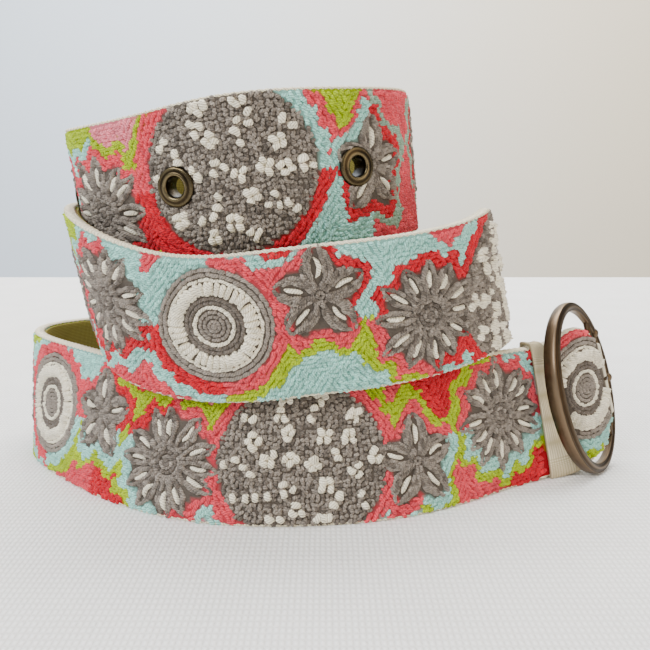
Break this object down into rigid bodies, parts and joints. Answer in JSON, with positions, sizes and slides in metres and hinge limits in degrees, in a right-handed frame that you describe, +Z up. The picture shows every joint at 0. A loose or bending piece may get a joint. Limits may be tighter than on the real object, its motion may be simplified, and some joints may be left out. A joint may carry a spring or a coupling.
{
  "type": "belt",
  "caption": "Wool belt embroidered with flowers and zigzags, rolled in stacked turns, with an oval bronze buckle and metal eyelets.",
  "frame": {"origin": "middle of the footprint, on the surface that the belt stands on", "axes": "+X to the right along the roll's longest side, +Y to the back, +Z up"},
  "size_m": [0.241, 0.141, 0.1446],
  "materials": {
    "embroidered_wool": "matte, with raised wool stitches in gray, cream, coral, red, pink, aqua and lime",
    "olive_lining": "matte plain weave",
    "cream_cloth": "matte",
    "dark_bronze": "dark antique bronze, worn to lighter lines",
    "antique_brass": "antique, satin"
  },
  "bodies": {
    "strap": {"strap": "embroidered_wool", "lining": "olive_lining", "keeper_loop": "cream_cloth", "prong": "dark_bronze", "eyelet_1": "antique_brass", "eyelet_2": "antique_brass", "eyelet_3": "antique_brass", "eyelet_4": "antique_brass", "eyelet_5": "antique_brass"},
    "buckle": {"buckle_frame": "dark_bronze"}
  },
  "joints": [
    {"name": "frame_swing", "type": "hinge", "parent": "strap", "child": "buckle", "pos_m": [0.11225, -0.00496, 0.03338], "axis": [-0.2182, 0.129, 0.9673], "range_deg": [0, 85]}
  ]
}
